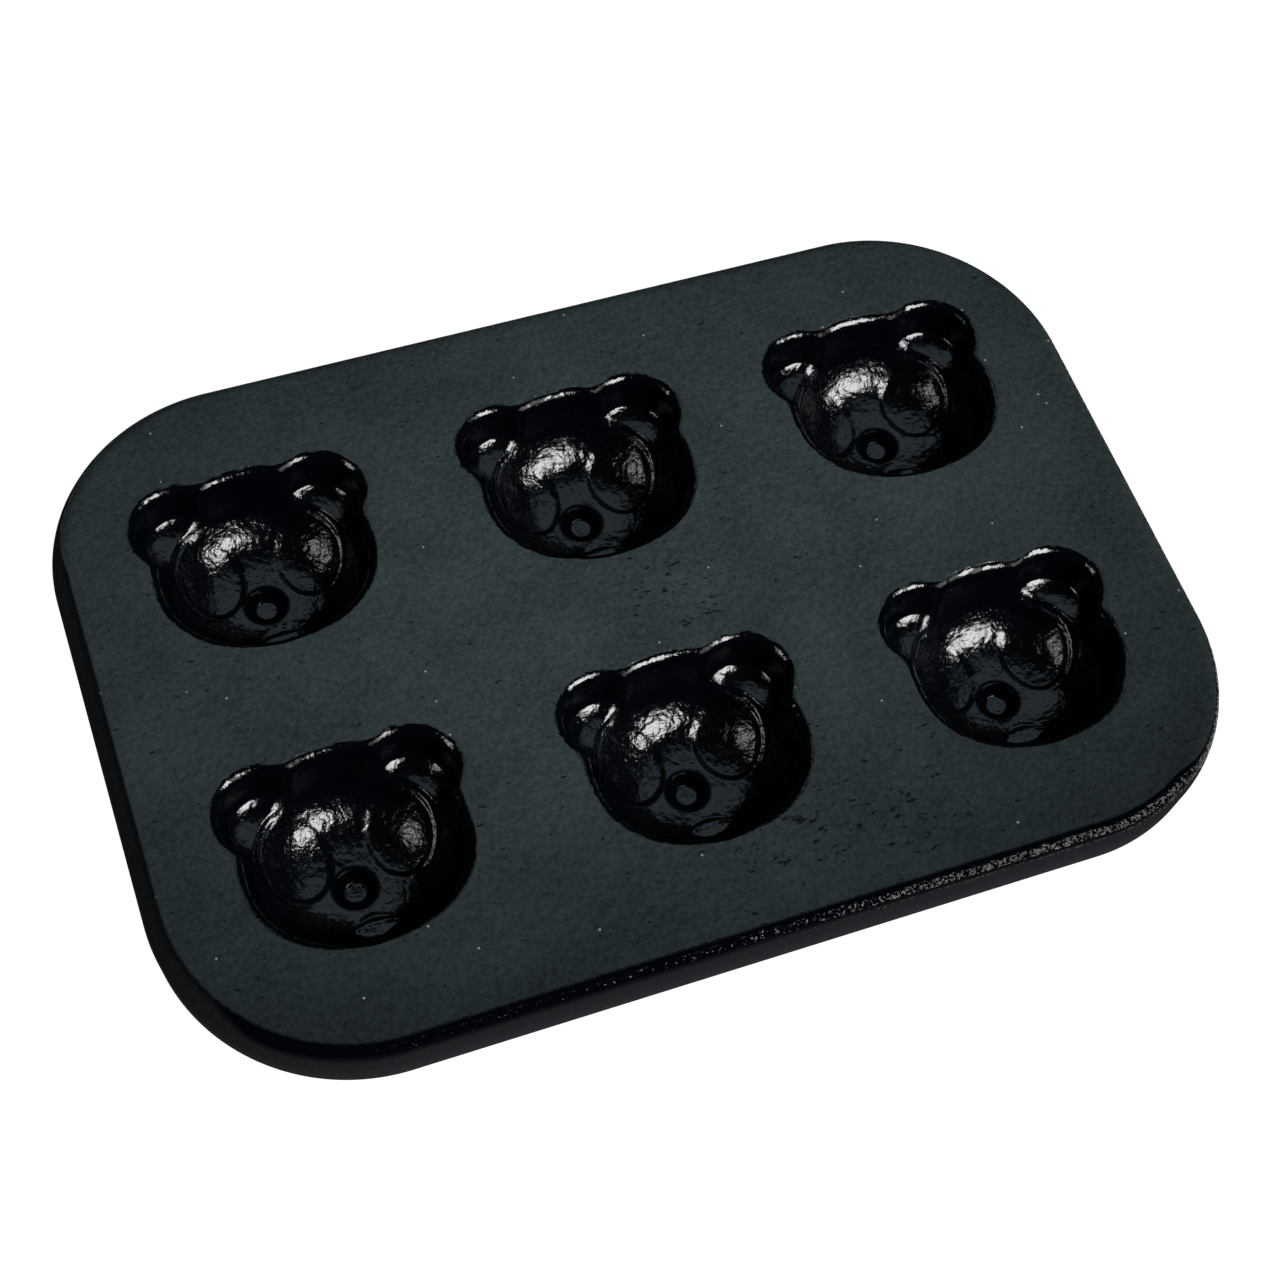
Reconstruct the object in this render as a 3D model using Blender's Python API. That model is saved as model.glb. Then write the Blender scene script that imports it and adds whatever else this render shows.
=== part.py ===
"""Six-cavity panda pastry mould in cast iron: a deck with six face-shaped mouths, and a cup under each."""
import math

import bmesh
import bpy

# Driving dimensions, in metres. Depths are measured down from the top of the deck.

# The deck: a flat plate with a short skirt turned down all round.
COLUMNS = 3
ROWS = 2
COLUMN_GAP = 0.0203
ROW_GAP = 0.0256
SIDE_MARGIN = 0.0175
END_MARGIN = 0.0237
DECK_CORNER_RADIUS = 0.0436
DECK_THICKNESS = 0.0045
DECK_EDGE_ROUNDING = 0.0040
SKIRT_HEIGHT = 0.0122
SKIRT_WALL = 0.0045
SKIRT_TAPER = 0.0005
SKIRT_FOOT_CHAMFER = 0.0005

# The cups hang below the deck, with the casting divided at a fine seam.
CUP_WALL = 0.0040
SEAM_GAP = 0.0003

# The head: a bowl with a squarish oval mouth, steep at the forehead and gentle at the chin.
HEAD_HALF_WIDTH = 0.0250
HEAD_TO_CHIN = 0.0215
HEAD_TO_CROWN = 0.0250
HEAD_DEPTH = 0.0188
HEAD_SQUARENESS = 2.2
CHIN_STEEPNESS = 3.4
TEMPLE_STEEPNESS = 3.6
CROWN_STEEPNESS = 4.4

# Round each mouth the deck rolls over into the wall in a rounded lip, whose start the grinding took away.
LIP_RADIUS = 0.0029
LIP_START = math.radians(8)
WALL_TILT = math.radians(77)

# The ears: two shallower bowls that run into the head, set in from its side and its crown.
EAR_IN_FROM_SIDE = 0.0094
EAR_IN_FROM_CROWN = 0.0110
EAR_HALF_WIDTH = 0.0118
EAR_HALF_HEIGHT = 0.0111
EAR_DEPTH = 0.0100
EAR_RISE_TO_RIM = 0.0070
EAR_STEEPNESS = 3.4

# The eye patches: oval pockets let into the bowl, shallow towards the crown and deep towards the cheek.
EYE_IN_FROM_SIDE = 0.0140
EYE_UP_OFFSET = 0.0080
EYE_HALF_WIDTH = 0.0056
EYE_HALF_HEIGHT = 0.0077
EYE_LEAN = math.radians(7)
EYE_SINK_AT_TOP = 0.0006
EYE_SINK_AT_CHEEK = 0.0020
EYE_WALL_DRAFT = 0.4

# The nose: a round dish in the middle of the face. The mouth: a level lens where the chin begins.
NOSE_DOWN_OFFSET = 0.0006
NOSE_RIM_RADIUS = 0.0040
NOSE_FLOOR_RADIUS = 0.0022
NOSE_SINK = 0.0024
MOUTH_FROM_CHIN = 0.0105
MOUTH_ABOVE_FACE = 0.0011
MOUTH_HALF_LENGTH = 0.0050
MOUTH_HALF_HEIGHT = 0.0021
MOUTH_CUTTER_HEIGHT = 0.0120

# Facets: fine inside, where the pastry takes its shape, and coarser on the hidden outside.
HEAD_SEGMENTS = 36
EAR_SEGMENTS = 20
EYE_SEGMENTS = 20
NOSE_SEGMENTS = 16
MOUTH_SEGMENTS = 14
OUTSIDE_SHARE = 0.7
CORNER_SEGMENTS = 7
EDGE_STEPS = 4
SHARP_ANGLE = math.radians(35)
MERGE_DISTANCE = 1e-6

# The sections of each form, as shares of its size: a bowl's below its lip, and a pocket's on its floor.
LIP_STEPS = 4
HEAD_SHARES = (0.93, 0.82, 0.66, 0.44, 0.0)
EAR_SHARES = (0.88, 0.70, 0.42, 0.0)
EYE_SHARES = (1.0, 0.55, 0.0)

# How far a cutter stands above the face that it cuts, and how far a bowl's sides flare there.
CUTTER_RISE = 0.003
CUTTER_FLARE = 0.04
POCKET_RISE = 0.001

# Worked out from the sizes above.
EAR_SIDE_OFFSET = HEAD_HALF_WIDTH - EAR_IN_FROM_SIDE
EAR_UP_OFFSET = HEAD_TO_CROWN - EAR_IN_FROM_CROWN
EYE_SIDE_OFFSET = HEAD_HALF_WIDTH - EYE_IN_FROM_SIDE
NOSE_FLOOR_DEPTH = HEAD_DEPTH + NOSE_SINK
MOUTH_DOWN_OFFSET = HEAD_TO_CHIN - MOUTH_FROM_CHIN
MOUTH_DEPTH = HEAD_DEPTH - MOUTH_ABOVE_FACE
FACE_WIDTH = 2 * max(EAR_SIDE_OFFSET + EAR_HALF_WIDTH, HEAD_HALF_WIDTH)
FACE_CROWN = max(EAR_UP_OFFSET + EAR_HALF_HEIGHT, HEAD_TO_CROWN)
COLUMN_PITCH = FACE_WIDTH + COLUMN_GAP
ROW_PITCH = FACE_CROWN + HEAD_TO_CHIN + ROW_GAP
DECK_WIDTH = (COLUMNS - 1) * COLUMN_PITCH + FACE_WIDTH + 2 * SIDE_MARGIN
DECK_LENGTH = (ROWS - 1) * ROW_PITCH + FACE_CROWN + HEAD_TO_CHIN + 2 * END_MARGIN
FACE_SHIFT = (HEAD_TO_CHIN - FACE_CROWN) / 2
PAN_HEIGHT = NOSE_FLOOR_DEPTH + CUP_WALL

IRON_DECK = ("iron_deck", (0.022, 0.030, 0.031), 0.62, 0.35)
IRON_CUP = ("iron_cup", (0.010, 0.011, 0.015), 0.32, 0.45)


def clear_scene():
    for leftover in list(bpy.data.objects):
        bpy.data.objects.remove(leftover, do_unlink=True)


def make_material(name, color, roughness, metallic):
    material = bpy.data.materials.new(name)
    material.use_nodes = True
    shader = material.node_tree.nodes["Principled BSDF"]
    shader.inputs["Base Color"].default_value = (*color, 1.0)
    shader.inputs["Roughness"].default_value = roughness
    shader.inputs["Metallic"].default_value = metallic
    return material


def loft(name, segments, sections):
    """A closed form from the first section to the last; a section gives a point for each spoke."""
    bm = bmesh.new()
    spoke = bm.verts.layers.int.new("spoke")
    ring = bmesh.ops.create_circle(bm, cap_ends=True, radius=1.0, segments=segments)["verts"]
    for vert in ring:
        vert[spoke] = round(math.atan2(vert.co.y, vert.co.x) / math.tau * segments) % segments
        vert.co = sections[0][vert[spoke]]
    edges = list(bm.edges)
    for section in sections[1:]:
        made = bmesh.ops.extrude_edge_only(bm, edges=edges)["geom"]
        for vert in (item for item in made if isinstance(item, bmesh.types.BMVert)):
            vert.co = section[vert[spoke]]
        edges = [item for item in made if isinstance(item, bmesh.types.BMEdge) and item.is_boundary]
    bmesh.ops.contextual_create(bm, geom=edges)
    bmesh.ops.remove_doubles(bm, verts=bm.verts, dist=MERGE_DISTANCE)
    bmesh.ops.recalc_face_normals(bm, faces=bm.faces)
    mesh = bpy.data.meshes.new(name)
    bm.to_mesh(mesh)
    bm.free()
    form = bpy.data.objects.new(name, mesh)
    bpy.context.scene.collection.objects.link(form)
    return form


def spokes(segments):
    return [math.tau * index / segments for index in range(segments)]


def squared_circle(angle, squareness):
    """A point on a unit circle pushed out towards a square."""
    def push(value):
        return math.copysign(abs(value) ** (2 / squareness), value)
    return push(math.cos(angle)), push(math.sin(angle))


def lip_distance(tilt):
    """How far inside the mouth's edge the lip has rolled over to this tilt."""
    return LIP_RADIUS * (math.sin(tilt) - math.sin(LIP_START))


def lip_depth(distance):
    """Depth of the rounded lip, and of the straight wall that it runs into, by distance from the edge."""
    past = max(0.0, distance - lip_distance(WALL_TILT))
    tilt = math.asin((distance - past) / LIP_RADIUS + math.sin(LIP_START))
    return LIP_RADIUS * (math.cos(LIP_START) - math.cos(tilt)) + past * math.tan(WALL_TILT)


def bowl_shares(half_width, shares):
    """The shares at which a bowl has its sections: round its lip, and then down to the middle."""
    tilts = [LIP_START + (WALL_TILT - LIP_START) * step / LIP_STEPS for step in range(1, LIP_STEPS + 1)]
    round_lip = [1 - lip_distance(tilt) / half_width for tilt in tilts]
    return round_lip + [round_lip[-1] * share for share in shares]


def bowl_sections(outline, depth_at, shares):
    """Sections of a bowl, from above the deck down its wall to the middle of its floor.

    outline(angle, share) is the plan at a share of the bowl's size. depth_at(angle, share) is its depth.
    The first sections stand above the deck, flared so that the wall crosses the deck's top at share 1.
    """
    first = shares[0]
    flared = 1 + CUTTER_FLARE
    slope = CUTTER_FLARE / (1 - first)
    sections = [lambda angle: (*outline(angle, flared), CUTTER_RISE),
                lambda angle: (*outline(angle, flared), depth_at(angle, first) * slope)]
    for share in shares:
        sections.append(lambda angle, share=share: (*outline(angle, share), -depth_at(angle, share)))
    return sections


def place(sections, segments):
    return [[section(angle) for angle in spokes(segments)] for section in sections]


def segments_for(count, grow):
    """The outside of a cup takes fewer segments than the inside, in fours."""
    return count if grow == 0 else 4 * round(count * OUTSIDE_SHARE / 4)


def head_depth(lean, share, grow):
    """Depth of the head's bowl; lean runs from -1 at the chin over 0 at the temples to 1 at the crown."""
    end = CROWN_STEEPNESS if lean > 0 else CHIN_STEEPNESS
    steepness = TEMPLE_STEEPNESS + (end - TEMPLE_STEEPNESS) * abs(lean)
    inner = min(HEAD_DEPTH * (1 - share ** steepness), lip_depth((1 - share) * HEAD_HALF_WIDTH))
    return inner + grow * (1 - share ** steepness)


def head_depth_below(x, y):
    """Depth of the head's bowl under a point of its plan."""
    across = abs(x) / HEAD_HALF_WIDTH
    along = abs(y) / (HEAD_TO_CROWN if y > 0 else HEAD_TO_CHIN)
    share = (across ** HEAD_SQUARENESS + along ** HEAD_SQUARENESS) ** (1 / HEAD_SQUARENESS)
    lean = math.copysign((along / share) ** (HEAD_SQUARENESS / 2), y) if share > 0 else 0.0
    return head_depth(lean, min(share, 1.0), 0.0)


def head_form(grow):
    def outline(angle, share):
        x, y = squared_circle(angle, HEAD_SQUARENESS)
        reach = HEAD_TO_CROWN if y > 0 else HEAD_TO_CHIN
        return share * x * (HEAD_HALF_WIDTH + grow), share * y * (reach + grow)

    def depth_at(angle, share):
        return head_depth(math.sin(angle), share, grow)

    segments = segments_for(HEAD_SEGMENTS, grow)
    shares = bowl_shares(HEAD_HALF_WIDTH, HEAD_SHARES)
    return loft("head", segments, place(bowl_sections(outline, depth_at, shares), segments))


def ear_form(side, grow):
    def outline(angle, share):
        x = side * EAR_SIDE_OFFSET + share * math.cos(angle) * (EAR_HALF_WIDTH + grow)
        return x, EAR_UP_OFFSET + share * math.sin(angle) * (EAR_HALF_HEIGHT + grow)

    def depth_at(angle, share):
        bowl = EAR_DEPTH - EAR_RISE_TO_RIM * share ** EAR_STEEPNESS
        inner = min(bowl, lip_depth((1 - share) * EAR_HALF_WIDTH))
        return inner + grow * (1 - share ** EAR_STEEPNESS)

    segments = segments_for(EAR_SEGMENTS, grow)
    shares = bowl_shares(EAR_HALF_WIDTH, EAR_SHARES)
    return loft("ear", segments, place(bowl_sections(outline, depth_at, shares), segments))


def eye_form(side):
    """An eye patch: an oval whose floor runs a little below the bowl's, and more so towards the cheek."""
    def point(angle, share, rise):
        across = (share * EYE_HALF_WIDTH + rise * EYE_WALL_DRAFT) * math.cos(angle)
        along = (share * EYE_HALF_HEIGHT + rise * EYE_WALL_DRAFT) * math.sin(angle)
        lean = side * EYE_LEAN
        x = side * EYE_SIDE_OFFSET + across * math.cos(lean) - along * math.sin(lean)
        y = EYE_UP_OFFSET + across * math.sin(lean) + along * math.cos(lean)
        towards_top = (1 + share * math.sin(angle)) / 2
        sink = EYE_SINK_AT_CHEEK + (EYE_SINK_AT_TOP - EYE_SINK_AT_CHEEK) * towards_top
        return x, y, rise - sink - head_depth_below(x, y)

    wall = EYE_SINK_AT_CHEEK + POCKET_RISE
    sections = [lambda angle: point(angle, 1.0, wall)]
    sections += [lambda angle, share=share: point(angle, share, 0.0) for share in EYE_SHARES]
    return loft("eye", EYE_SEGMENTS, place(sections, EYE_SEGMENTS))


def nose_form(grow):
    """The nose is a round dish in the face; grown by the wall it is the foot that the pan stands on."""
    slope = (NOSE_RIM_RADIUS - NOSE_FLOOR_RADIUS) / NOSE_SINK
    levels = [(NOSE_RIM_RADIUS + slope * POCKET_RISE, HEAD_DEPTH - POCKET_RISE),
              (NOSE_FLOOR_RADIUS, NOSE_FLOOR_DEPTH)]
    sections = []
    for radius, depth in levels:
        reach = radius + grow
        sections.append([(reach * math.cos(angle), reach * math.sin(angle) - NOSE_DOWN_OFFSET, -depth - grow)
                         for angle in spokes(NOSE_SEGMENTS)])
    return loft("nose", NOSE_SEGMENTS, sections)


def mouth_form():
    """The mouth is a level lens let into the chin, bounded by two shallow arcs."""
    def point(angle, rise):
        x = MOUTH_HALF_LENGTH * math.cos(angle)
        y = math.copysign(MOUTH_HALF_HEIGHT * math.sin(angle) ** 2, math.sin(angle))
        return x, y - MOUTH_DOWN_OFFSET, rise - MOUTH_DEPTH

    sections = [lambda angle: point(angle, MOUTH_CUTTER_HEIGHT), lambda angle: point(angle, 0.0)]
    return loft("mouth", MOUTH_SEGMENTS, place(sections, MOUTH_SEGMENTS))


def as_cutter(form):
    form.hide_render = True
    form.display_type = "WIRE"
    return form


def combine(target, operation, others):
    """Adds live Boolean modifiers, one for each other form."""
    for other in others:
        modifier = target.modifiers.new(operation.lower(), "BOOLEAN")
        modifier.operation = operation
        modifier.solver = "EXACT"
        modifier.object = as_cutter(other)
    return target


def settle(form, helpers):
    """Applies a form's modifiers and removes the helpers that they used."""
    graph = bpy.context.evaluated_depsgraph_get()
    mesh = bpy.data.meshes.new_from_object(form.evaluated_get(graph))
    form.modifiers.clear()
    form.data = mesh
    for helper in helpers:
        bpy.data.objects.remove(helper, do_unlink=True)
    return form


def panda_form(grow):
    """The whole face as one closed form, the shape of the pastry.

    grow thickens it by a cup's wall, and leaves out the eyes and the mouth, too shallow to show outside.
    """
    parts = [nose_form(grow), ear_form(-1, grow), ear_form(1, grow)]
    if grow == 0:
        parts += [eye_form(-1), eye_form(1), mouth_form()]
    return settle(combine(head_form(grow), "UNION", parts), parts)


def shade_round(mesh):
    mesh.shade_smooth()
    mesh.set_sharp_from_angle(angle=SHARP_ANGLE)


def cup_mesh(pastry):
    """A cup: the grown face cut off level at the seam, hollowed by the pastry's form."""
    shell = panda_form(CUP_WALL)
    bm = bmesh.new()
    bm.from_mesh(shell.data)
    seam = (0.0, 0.0, -(DECK_THICKNESS + SEAM_GAP))
    whole = list(bm.verts) + list(bm.edges) + list(bm.faces)
    cut = bmesh.ops.bisect_plane(bm, geom=whole, dist=MERGE_DISTANCE, plane_co=seam,
                                 plane_no=(0.0, 0.0, 1.0), clear_outer=True)["geom_cut"]
    bmesh.ops.contextual_create(bm, geom=[item for item in cut if isinstance(item, bmesh.types.BMEdge)])
    bmesh.ops.recalc_face_normals(bm, faces=bm.faces)
    bm.to_mesh(shell.data)
    bm.free()
    settle(combine(shell, "DIFFERENCE", [pastry]), [])
    mesh = shell.data
    bpy.data.objects.remove(shell, do_unlink=True)
    shade_round(mesh)
    return mesh


def rounded_rectangle(inset, level):
    """A ring of points round the deck's outline, moved in by inset."""
    radius = DECK_CORNER_RADIUS - inset
    reach_x = DECK_WIDTH / 2 - DECK_CORNER_RADIUS
    reach_y = DECK_LENGTH / 2 - DECK_CORNER_RADIUS
    points = []
    for corner, (side_x, side_y) in enumerate(((1, 1), (-1, 1), (-1, -1), (1, -1))):
        for step in range(CORNER_SEGMENTS + 1):
            angle = math.pi / 2 * (corner + step / CORNER_SEGMENTS)
            points.append((side_x * reach_x + radius * math.cos(angle),
                           side_y * reach_y + radius * math.sin(angle), level))
    return points


def deck_form():
    """The plate and its skirt, as one profile carried round the outline."""
    rounding = DECK_EDGE_ROUNDING
    profile = []
    for step in range(EDGE_STEPS + 1):
        angle = math.pi / 2 * step / EDGE_STEPS
        profile.append((rounding * (1 - math.sin(angle)), -rounding * (1 - math.cos(angle))))
    outer = SKIRT_TAPER
    inner = SKIRT_TAPER + SKIRT_WALL
    chamfer = SKIRT_FOOT_CHAMFER
    profile += [(outer, -(SKIRT_HEIGHT - chamfer)), (outer + chamfer, -SKIRT_HEIGHT),
                (inner - chamfer, -SKIRT_HEIGHT), (inner, -(SKIRT_HEIGHT - chamfer)),
                (inner, -(DECK_THICKNESS + rounding)), (inner + rounding, -DECK_THICKNESS)]
    rings = [rounded_rectangle(inset, level) for inset, level in profile]
    return loft("deck", len(rings[0]), rings)


def cell_places():
    """The middle of each head, with a plain name for its place in the pan."""
    columns = ("left", "middle", "right")
    rows = ("front", "back")
    for row in range(ROWS):
        for column in range(COLUMNS):
            x = (column - (COLUMNS - 1) / 2) * COLUMN_PITCH
            y = (row - (ROWS - 1) / 2) * ROW_PITCH + FACE_SHIFT
            yield f"{rows[row]}_{columns[column]}", x, y


def joined_copies(mesh, places):
    """One mesh that holds a copy of another at each place."""
    bm = bmesh.new()
    for _, x, y in places:
        before = len(bm.verts)
        bm.from_mesh(mesh)
        bm.verts.ensure_lookup_table()
        bmesh.ops.translate(bm, verts=bm.verts[before:], vec=(x, y, 0.0))
    joined = bpy.data.meshes.new("pastries")
    bm.to_mesh(joined)
    bm.free()
    return joined


def main():
    clear_scene()
    scene = bpy.context.scene.collection.objects
    places = list(cell_places())
    pan = bpy.data.objects.new("pan", None)
    pan.location.z = PAN_HEIGHT
    scene.link(pan)

    pastry = panda_form(0.0)
    cups = cup_mesh(pastry)
    cups.name = "panda_cup"
    cups.materials.append(make_material(*IRON_CUP))
    for place_name, x, y in places:
        cup = bpy.data.objects.new(f"panda_cup_{place_name}", cups)
        cup.location = (x, y, 0.0)
        cup.parent = pan
        scene.link(cup)

    pastries = bpy.data.objects.new("pastries", joined_copies(pastry.data, places))
    scene.link(pastries)
    deck = settle(combine(deck_form(), "DIFFERENCE", [pastries]), [pastries, pastry])
    shade_round(deck.data)
    deck.data.materials.clear()
    deck.data.materials.append(make_material(*IRON_DECK))
    deck.parent = pan
    print(f"pan {DECK_WIDTH * 1000:.1f} x {DECK_LENGTH * 1000:.1f} x {PAN_HEIGHT * 1000:.1f} mm")


main()
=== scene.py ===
# %% [markdown]
# A cast iron pan that bakes six small panda faces.
# The real pan is poured in one go in a sand mould, oiled black, and its top is ground flat.
# The solids of the CAD model say where everything is. This lesson makes the surface that the eye sees:
# soft lips round each mouth, a face pressed into each cup, a matt ground top and a glossy black skin.

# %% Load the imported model
import math

import bmesh
import bpy
import numpy as np
from mathutils import Matrix, Vector


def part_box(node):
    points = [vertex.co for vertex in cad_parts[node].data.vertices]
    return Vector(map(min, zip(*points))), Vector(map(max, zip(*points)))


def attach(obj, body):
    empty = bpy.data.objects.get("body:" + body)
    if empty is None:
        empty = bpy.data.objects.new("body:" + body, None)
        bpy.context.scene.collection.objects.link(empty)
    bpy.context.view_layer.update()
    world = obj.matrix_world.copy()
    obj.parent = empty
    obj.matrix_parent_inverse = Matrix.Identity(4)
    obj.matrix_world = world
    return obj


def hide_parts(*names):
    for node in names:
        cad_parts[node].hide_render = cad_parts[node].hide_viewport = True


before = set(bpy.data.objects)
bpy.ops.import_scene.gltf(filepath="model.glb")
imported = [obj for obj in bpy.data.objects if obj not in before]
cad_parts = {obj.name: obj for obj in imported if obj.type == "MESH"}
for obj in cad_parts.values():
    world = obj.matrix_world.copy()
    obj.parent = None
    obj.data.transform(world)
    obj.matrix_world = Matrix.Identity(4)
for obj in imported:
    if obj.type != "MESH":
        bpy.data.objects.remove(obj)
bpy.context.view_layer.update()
deck_low, deck_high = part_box("deck")
TOP = deck_high.z
MM = 0.001
print(f"the pan is {(deck_high.x - deck_low.x) / MM:.1f} mm long and stands {TOP / MM:.1f} mm high")

# %% [markdown]
# The camera comes first, because everything else is judged through it.
# Its place was found by fitting the outlines of the six equal mouths, so it is a real distance
# and a real focal length, with no shift. The three rows are the camera's right, up and backward directions.

# %% The camera
LENS = 64.2
SENSOR = 36.0
EYE_POINT = Vector((-0.112654, -0.226328, TOP + 0.432004))
CAMERA_RIGHT = (0.94034653, -0.33269007, 0.07117396)
CAMERA_UP = (0.25863169, 0.83494493, 0.48577425)
CAMERA_BACK = (-0.2210386, -0.43838829, 0.87118175)

camera_data = bpy.data.cameras.new("camera")
camera_data.lens = LENS
camera_data.sensor_width = SENSOR
camera_data.clip_start = 0.01
camera = bpy.data.objects.new("camera", camera_data)
turned = Matrix((CAMERA_RIGHT, CAMERA_UP, CAMERA_BACK)).transposed()
camera.matrix_world = Matrix.Translation(EYE_POINT) @ turned.to_4x4()
bpy.context.scene.collection.objects.link(camera)
bpy.context.scene.camera = camera
print(f"camera {EYE_POINT.length:.3f} m from the pan's foot")

# %% [markdown]
# The six faces stand in two rows of three, at equal steps. They are set a little towards the front, because
# a face reaches further up to its crown and ears than down to its chin.

# %% Where the faces are
COLUMN_PITCH = 75.1 * MM
ROW_PITCH = 72.2 * MM
FACE_SHIFT = -1.8 * MM

face_centres = {}
for row, row_name in enumerate(("front", "back")):
    for column, column_name in enumerate(("left", "middle", "right")):
        centre = ((column - 1) * COLUMN_PITCH, (row - 0.5) * ROW_PITCH + FACE_SHIFT)
        face_centres[f"{row_name}_{column_name}"] = centre
        print(f"{row_name} {column_name} face at {centre[0] / MM:.1f}, {centre[1] / MM:.1f} mm")

# %% [markdown]
# A face is a depth below the deck at every point of a small map: x to the right, y towards the ears.
# Working with depths keeps each form simple. The head and the ears are bowls, and a soft maximum joins two
# of them with a fillet, as a pattern maker's wax would. Sculpting would give the same forms, but no size
# could be changed afterwards. Each bowl is a share of its own outline: 0 in its middle and 1 at its edge.
# A power of that share gives a floor that is flat in the middle and steep at the side.

# %% The head and the ears
HEAD_HALF_WIDTH = 25.0 * MM
HEAD_TO_CHIN = 21.5 * MM
HEAD_TO_CROWN = 25.0 * MM
HEAD_DEPTH = 18.8 * MM
HEAD_SQUARENESS = 2.2
CHIN_STEEPNESS = 3.4
TEMPLE_STEEPNESS = 3.6
CROWN_STEEPNESS = 4.4

EAR_SIDE = 15.6 * MM
EAR_UP = 14.0 * MM
EAR_HALF_WIDTH = 11.8 * MM
EAR_HALF_HEIGHT = 11.1 * MM
EAR_DEPTH = 10.0 * MM
EAR_RISE_TO_RIM = 7.0 * MM
EAR_STEEPNESS = 3.4
EAR_FILLET = 3.0 * MM
SIDES = (-1, 1)


def soft_max(first, second, blend):
    """The larger of two values, with a fillet where they meet."""
    weight = np.clip(0.5 + 0.5 * (first - second) / blend, 0, 1)
    return second + (first - second) * weight + blend * weight * (1 - weight)


def soft_min(first, second, blend):
    """The smaller of two values, with a fillet where they meet."""
    return -soft_max(-first, -second, blend)


def head_share(x, y, grow=0.0):
    """Share of the head's outline, and how far the point lies towards the chin or the crown."""
    reach = np.where(y > 0, HEAD_TO_CROWN, HEAD_TO_CHIN) + grow
    across = np.abs(x) / (HEAD_HALF_WIDTH + grow)
    along = np.abs(y) / reach
    share = (across ** HEAD_SQUARENESS + along ** HEAD_SQUARENESS) ** (1 / HEAD_SQUARENESS)
    return share, (along / np.maximum(share, 1e-9)) ** (HEAD_SQUARENESS / 2)


def head_depth(x, y, grow=0.0):
    """The head's bowl, or with grow the same bowl a wall's thickness further out."""
    share, lean = head_share(x, y, grow)
    end = np.where(y > 0, CROWN_STEEPNESS, CHIN_STEEPNESS)
    return (HEAD_DEPTH + grow) * (1 - share ** (TEMPLE_STEEPNESS + (end - TEMPLE_STEEPNESS) * lean))


def ear_share(x, y, side, grow=0.0):
    across = (x - side * EAR_SIDE) / (EAR_HALF_WIDTH + grow)
    return np.hypot(across, (y - EAR_UP) / (EAR_HALF_HEIGHT + grow))


def ear_depth(x, y, side, grow=0.0):
    rise = (EAR_RISE_TO_RIM + grow) * ear_share(x, y, side, grow) ** EAR_STEEPNESS
    return EAR_DEPTH + grow - rise


def bowl_depth(x, y):
    """The head's bowl with the two ears let into its side."""
    depth = head_depth(x, y)
    for side in SIDES:
        depth = soft_max(depth, ear_depth(x, y, side), EAR_FILLET)
    return depth


for spot, x, y in (("middle", 0.0, 0.0), ("right ear", EAR_SIDE, EAR_UP)):
    print(f"the bowl is {bowl_depth(x, y) / MM:.1f} mm deep at the {spot}")

# %% [markdown]
# The lip is a part of a circle that starts at a slight tilt, because the wheel ground away its flattest
# stretch, and runs into a straight steep wall. A bevel would jam in the nooks between the ears and the head,
# so the lip is worked out from how far in from the mouth's outline a point lies.

# %% The lips
LIP_RADIUS = 2.9 * MM
LIP_START = math.radians(8)
WALL_TILT = math.radians(77)
LIP_WIDTH = LIP_RADIUS * (math.sin(WALL_TILT) - math.sin(LIP_START))
LIP_FILLET = 1.2 * MM
NOOK_FILLET = 2.0 * MM


def distance_inside(x, y):
    """Distance in from the mouth's outline, with the nooks between ear and head rounded."""
    share, lean = head_share(x, y)
    reach = HEAD_HALF_WIDTH + (np.where(y > 0, HEAD_TO_CROWN, HEAD_TO_CHIN) - HEAD_HALF_WIDTH) * lean
    inside = (1 - share) * reach
    for side in SIDES:
        inside = soft_max(inside, (1 - ear_share(x, y, side)) * EAR_HALF_WIDTH, NOOK_FILLET)
    return inside


def lip_depth(inside):
    """The rounded lip, then the straight wall; outside the outline the lip's first slope runs on upwards."""
    turn = np.clip(math.sin(LIP_START) + inside / LIP_RADIUS, math.sin(LIP_START), math.sin(WALL_TILT))
    arc = LIP_RADIUS * (math.cos(LIP_START) - np.sqrt(1 - turn ** 2))
    wall = np.maximum(inside - LIP_WIDTH, 0) * math.tan(WALL_TILT)
    return arc + wall + np.minimum(inside, 0) * math.tan(LIP_START)


print(f"the lip is {LIP_WIDTH / MM:.1f} mm wide and {lip_depth(LIP_WIDTH) / MM:.1f} mm deep")

# %% [markdown]
# The eye patches follow the bowl's floor, a little deeper: hardly at all near the crown and a good
# millimetre at the cheek, so each shows as an oval step. Its outer side ends in a ledge, which catches the
# light as a thin line.

# %% The eye patches
EYE_SIDE = 11.1 * MM
EYE_UP = 7.9 * MM
EYE_HALF_WIDTH = 6.8 * MM
EYE_HALF_HEIGHT = 8.7 * MM
EYE_LEAN = math.radians(9)
EYE_SINK_AT_TOP = 0.35 * MM
EYE_SINK_AT_CHEEK = 1.15 * MM
EYE_STEP = 2.3 * MM
LEDGE_DEPTH = 0.80 * MM
LEDGE_WIDTH = 1.9 * MM
LEDGE_OUTWARDS = 1.4
LEDGE_UPWARDS = -0.35


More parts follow.
